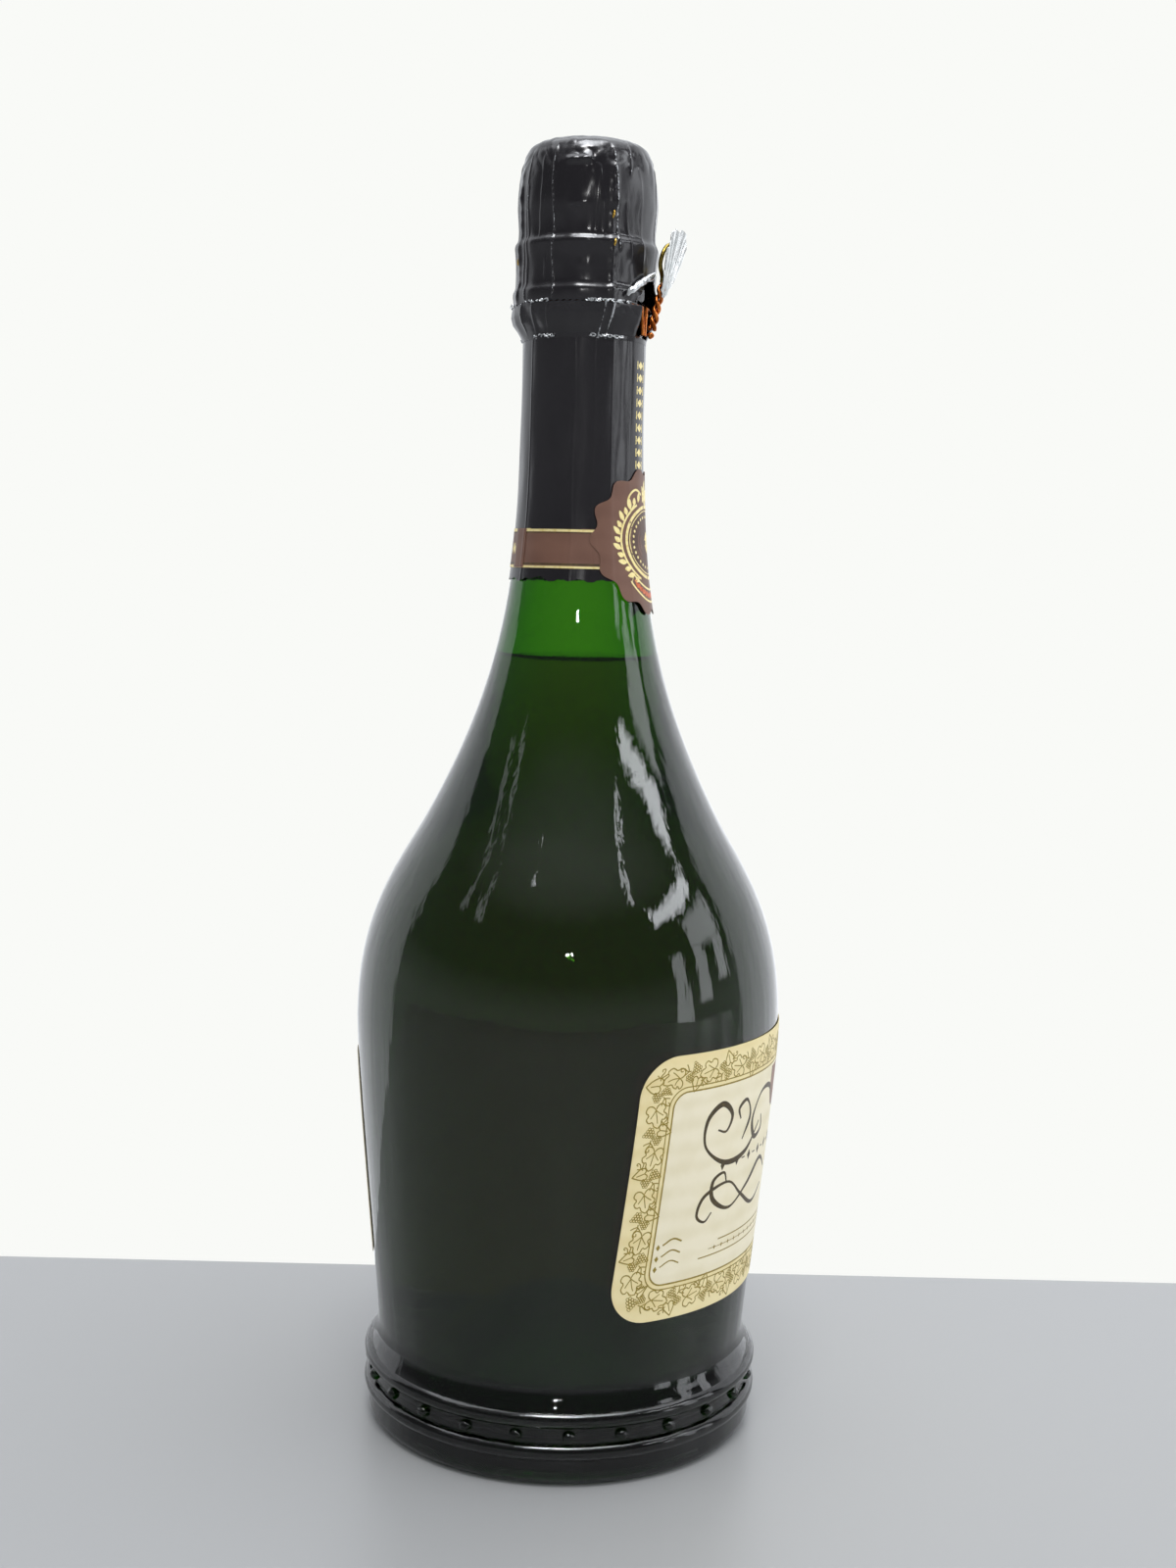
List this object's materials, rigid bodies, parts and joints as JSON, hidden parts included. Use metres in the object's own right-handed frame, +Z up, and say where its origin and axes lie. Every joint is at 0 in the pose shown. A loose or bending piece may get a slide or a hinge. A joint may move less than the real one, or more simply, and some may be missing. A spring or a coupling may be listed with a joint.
{
  "type": "sparkling wine bottle",
  "caption": "Full 0.75 litre sparkling wine bottle with ribbed foot, punt, cork, wire cage with pull loop, torn foil and paper labels.",
  "frame": {"origin": "middle of the base, on the plane that the bottle stands on", "axes": "+Z up along the bottle's axis, -Y out of the middle of the front label"},
  "size_m": [0.0984, 0.0987, 0.294],
  "materials": {
    "glass": "dark green bottle glass",
    "wine": "clear straw-coloured liquid",
    "agglomerate_cork": "agglomerated cork granules",
    "natural_cork": "natural cork disc",
    "cap_sheet": "gold lacquered steel sheet",
    "cage_wire": "bronze lacquered steel wire",
    "loop_wire": "copper coloured lacquered steel wire",
    "black_foil": "black lacquered creased aluminium foil",
    "bare_foil": "bare torn aluminium foil",
    "brown_paper": "brown paper with gold print",
    "cream_paper": "cream paper with gold print"
  },
  "bodies": {
    "bottle": {"bottle_glass": "glass", "wine": "wine", "tear_strip": "black_foil", "neck_foil": "black_foil", "neck_band": "brown_paper", "front_label": "cream_paper", "back_label": "cream_paper"},
    "cork": {"cork_body": "agglomerate_cork", "cork_disc_upper": "natural_cork", "cork_disc_lower": "natural_cork"},
    "cage": {"cage_cap": "cap_sheet", "cage_crown_wire": "cage_wire", "cage_leg_1": "cage_wire", "cage_leg_2": "cage_wire", "cage_leg_3": "cage_wire", "cage_leg_4": "cage_wire", "leg_eyelets": "cage_wire", "cage_belt": "cage_wire"},
    "hood": {"foil_hood": "black_foil", "torn_curl": "bare_foil"},
    "stem": {"stem_root": "loop_wire"},
    "loop": {"pull_loop": "loop_wire", "loop_scrap": "bare_foil"}
  },
  "joints": [
    {"name": "cork_draw", "type": "slide", "parent": "bottle", "child": "cork", "axis": [0, 0, 1], "range_m": [0, 0.06]},
    {"name": "cage_lift", "type": "slide", "parent": "cork", "child": "cage", "axis": [0, 0, 1], "range_m": [0, 0.05], "deforming": ["cage_belt", "leg_eyelets"]},
    {"name": "hood_lift", "type": "slide", "parent": "cage", "child": "hood", "axis": [0, 0, 1], "range_m": [0, 0.045]},
    {"name": "loop_twist", "type": "hinge", "parent": "cage", "child": "stem", "pos_m": [-0.00376, -0.01566, 0.251], "axis": [-0.2334, -0.9724, 0], "range_deg": [0, 1080]},
    {"name": "loop_swing", "type": "hinge", "parent": "stem", "child": "loop", "pos_m": [-0.00376, -0.01566, 0.251], "axis": [0.9724, -0.2334, 0], "range_deg": [0, 110]}
  ]
}
